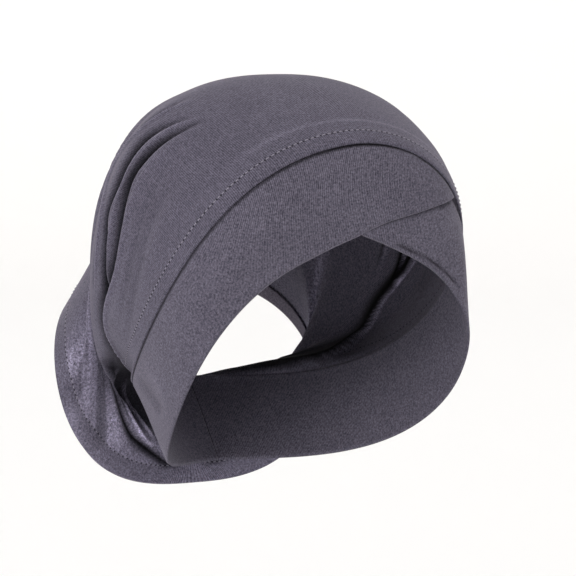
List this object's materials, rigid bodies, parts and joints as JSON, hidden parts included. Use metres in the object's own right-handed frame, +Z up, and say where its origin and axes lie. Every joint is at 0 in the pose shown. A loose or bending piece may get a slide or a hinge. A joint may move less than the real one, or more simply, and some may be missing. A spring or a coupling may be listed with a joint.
{
  "type": "underscarf cap",
  "caption": "Criss-cross underscarf cap of cotton jersey in its worn form: crown tube open behind, with front bands that cross over the forehead.",
  "frame": {"origin": "where the top of the wearer's head bears, at the inside of the crown's highest point", "axes": "+X towards the wearer's left, -Y towards the face, +Y behind the head, +Z up through the crown"},
  "size_m": [0.1569, 0.2298, 0.1962],
  "materials": {
    "crown_jersey": "matt",
    "hem_jersey": "matt",
    "band_jersey": "matt"
  },
  "bodies": {
    "root": {"crown_tube": "crown_jersey", "rear_hem": "hem_jersey", "front_band_right": "band_jersey", "front_band_left": "band_jersey"}
  },
  "joints": []
}
